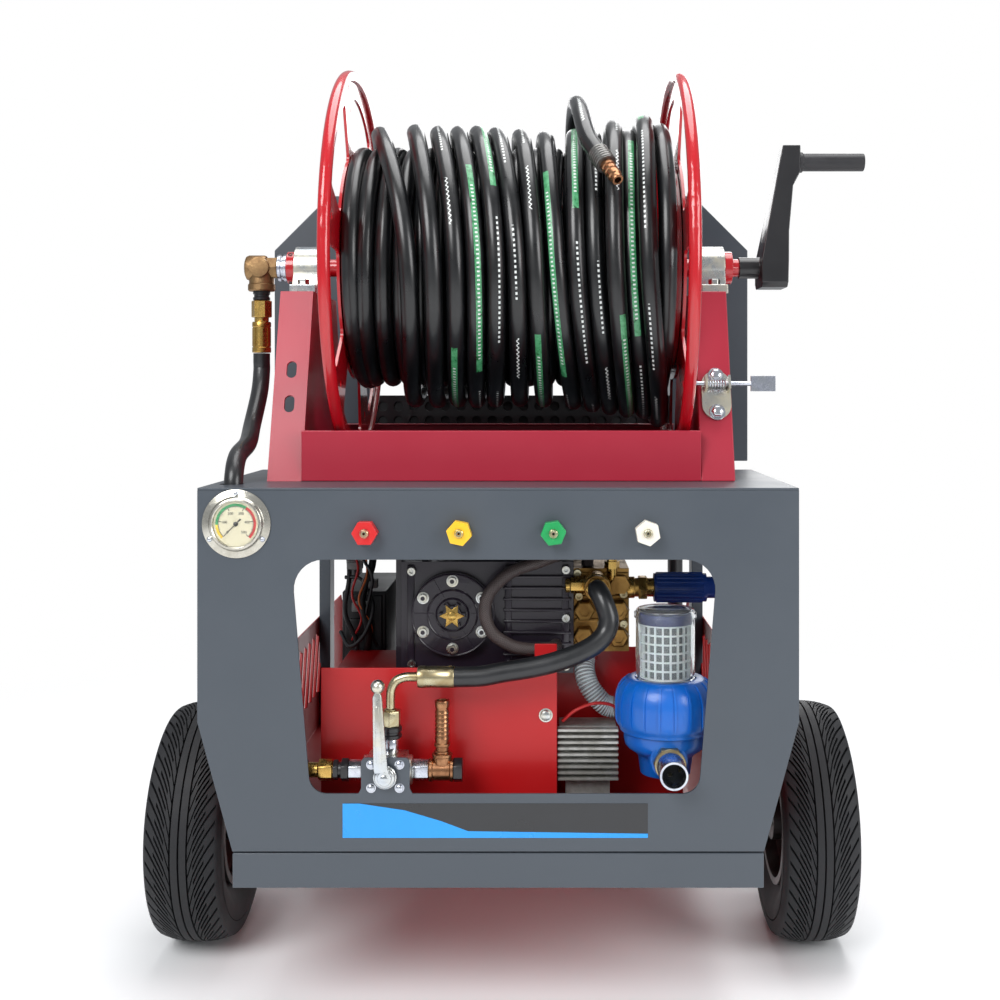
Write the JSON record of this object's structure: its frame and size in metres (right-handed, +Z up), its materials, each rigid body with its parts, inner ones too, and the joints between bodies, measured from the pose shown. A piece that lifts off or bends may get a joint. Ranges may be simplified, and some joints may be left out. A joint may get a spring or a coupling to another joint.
{
  "type": "drain jetter",
  "caption": "Wheeled drain jetter: grey steel cabinet with pump and filter behind a window, red crank-turned hose reel on top, locking pin, gauge, spray tips and two tyres.",
  "frame": {"origin": "on the floor under the centre of the machine's box", "axes": "+X to the right seen from the front, +Y from the front panel to the push handle, +Z up"},
  "size_m": [0.9769, 0.958, 1.2149],
  "materials": {
    "slate_paint": "satin slate grey paint",
    "portal_paint": "satin dark grey paint",
    "chassis_paint": "satin black grey paint",
    "frame_red": "gloss crimson paint",
    "reel_red": "gloss deep red paint",
    "tray_red": "gloss red paint",
    "black_metal": "satin black paint",
    "pump_paint": "dark purple black paint",
    "engine_metal": "dark cast finish",
    "zinc": "bright zinc plate",
    "rim_steel": "dark pressed steel",
    "bronze": "cast bronze",
    "brass": "turned brass",
    "tyre_rubber": "matt black tread",
    "caster_rubber": "black tread",
    "hose_rubber": "semi-gloss black cover",
    "braid": "braided dark hose",
    "black_plastic": "textured black plastic",
    "blue_plastic": "gloss blue plastic",
    "knob_blue": "dark blue plastic",
    "clear_plastic": "clear plastic",
    "gauge_metal": "champagne steel",
    "nozzle_red": "red plastic",
    "nozzle_yellow": "yellow plastic",
    "nozzle_green": "green plastic",
    "nozzle_white": "white plastic",
    "fin_metal": "cast aluminium fins"
  },
  "bodies": {
    "chassis": {"chassis_frame": "chassis_paint", "front_crossbar": "slate_paint", "tray": "tray_red", "front_panel": "slate_paint", "deck_plate": "slate_paint", "rear_portal": "portal_paint", "grille_guard": "black_metal", "push_handle": "black_metal", "axle": "zinc", "reel_frame_left": "frame_red", "reel_frame_right": "frame_red", "reel_frame_bar": "frame_red", "pillow_blocks": "zinc", "swivel_elbow": "bronze", "feed_hose": "hose_rubber", "lock_bracket": "zinc", "lock_spring": "zinc", "gauge_case": "gauge_metal", "valve_body": "zinc", "port_fittings": "brass", "delivery_hose": "hose_rubber", "pump_crankcase": "pump_paint", "pump_cover": "pump_paint", "pump_head": "brass", "bypass_hose": "braid", "filter_bowl": "clear_plastic", "filter_body": "blue_plastic", "suction_hose": "clear_plastic", "battery_box": "tray_red", "battery": "black_plastic", "regulator": "fin_metal", "engine_block": "engine_metal", "engine_blower": "black_plastic", "fuel_tank": "black_plastic"},
    "reel": {"reel_drum": "zinc", "reel_flange_left": "reel_red", "reel_flange_right": "reel_red", "hose_core": "hose_rubber", "hose_winding": "hose_rubber", "hose_tail": "hose_rubber", "hose_fitting": "brass", "crank_arm": "black_metal"},
    "crank_handle": {"crank_grip": "black_plastic"},
    "wheel_left": {"tyre_left": "tyre_rubber", "rim_left": "rim_steel"},
    "wheel_right": {"tyre_right": "tyre_rubber", "rim_right": "rim_steel"},
    "caster_left": {"caster_fork_left": "zinc"},
    "caster_left_wheel": {"caster_wheel_left": "caster_rubber"},
    "caster_right": {"caster_fork_right": "zinc"},
    "caster_right_wheel": {"caster_wheel_right": "caster_rubber"},
    "lock": {"lock_pin": "zinc"},
    "lever": {"valve_lever": "zinc"},
    "pressure_knob": {"unloader_knob": "knob_blue"},
    "needle": {"gauge_needle": "black_metal"},
    "nozzle_a": {"nozzle_red": "nozzle_red"},
    "nozzle_b": {"nozzle_yellow": "nozzle_yellow"},
    "nozzle_c": {"nozzle_green": "nozzle_green"},
    "nozzle_d": {"nozzle_white": "nozzle_white"},
    "tank_cap": {"fuel_cap": "black_plastic"}
  },
  "joints": [
    {"name": "reel_spin", "type": "hinge", "parent": "chassis", "child": "reel", "pos_m": [-0.019, -0.165, 0.943], "axis": [1, 0, 0], "continuous": true},
    {"name": "grip_spin", "type": "hinge", "parent": "reel", "child": "crank_handle", "pos_m": [0.397, -0.165, 1.093], "axis": [1, 0, 0], "continuous": true},
    {"name": "wheel_left_spin", "type": "hinge", "parent": "chassis", "child": "wheel_left", "pos_m": [-0.389, -0.16, 0.162], "axis": [1, 0, 0], "continuous": true},
    {"name": "caster_left_swivel", "type": "hinge", "parent": "chassis", "child": "caster_left", "pos_m": [-0.249, 0.335, 0.0625], "axis": [0, 0, 1], "continuous": true},
    {"name": "caster_left_spin", "type": "hinge", "parent": "caster_left", "child": "caster_left_wheel", "pos_m": [-0.249, 0.369, 0.0625], "axis": [1, 0, 0], "continuous": true},
    {"name": "wheel_right_spin", "type": "hinge", "parent": "chassis", "child": "wheel_right", "pos_m": [0.351, -0.16, 0.162], "axis": [1, 0, 0], "continuous": true},
    {"name": "caster_right_swivel", "type": "hinge", "parent": "chassis", "child": "caster_right", "pos_m": [0.211, 0.335, 0.0625], "axis": [0, 0, 1], "continuous": true},
    {"name": "caster_right_spin", "type": "hinge", "parent": "caster_right", "child": "caster_right_wheel", "pos_m": [0.211, 0.369, 0.0625], "axis": [1, 0, 0], "continuous": true},
    {"name": "lock_slide", "type": "slide", "parent": "chassis", "child": "lock", "axis": [-1, 0, 0], "range_m": [0, 0.018]},
    {"name": "lever_turn", "type": "hinge", "parent": "chassis", "child": "lever", "pos_m": [-0.154, -0.445, 0.308], "axis": [0, -1, 0], "range_deg": [0, 90]},
    {"name": "pressure_turn", "type": "hinge", "parent": "chassis", "child": "pressure_knob", "pos_m": [-0.019, -0.305, 0.512], "axis": [1, 0, 0], "range_deg": [0, 720]},
    {"name": "needle_turn", "type": "hinge", "parent": "chassis", "child": "needle", "pos_m": [-0.332, -0.445, 0.61], "axis": [0, 1, 0], "range_deg": [0, 270]},
    {"name": "red_nozzle_pull", "type": "slide", "parent": "chassis", "child": "nozzle_a", "axis": [0, -1, 0], "range_m": [0, 0.04]},
    {"name": "yellow_nozzle_pull", "type": "slide", "parent": "chassis", "child": "nozzle_b", "axis": [0, -1, 0], "range_m": [0, 0.04]},
    {"name": "green_nozzle_pull", "type": "slide", "parent": "chassis", "child": "nozzle_c", "axis": [0, -1, 0], "range_m": [0, 0.04]},
    {"name": "white_nozzle_pull", "type": "slide", "parent": "chassis", "child": "nozzle_d", "axis": [0, -1, 0], "range_m": [0, 0.04]},
    {"name": "cap_lift", "type": "slide", "parent": "chassis", "child": "tank_cap", "axis": [0, 0, 1], "range_m": [0, 0.05]}
  ]
}
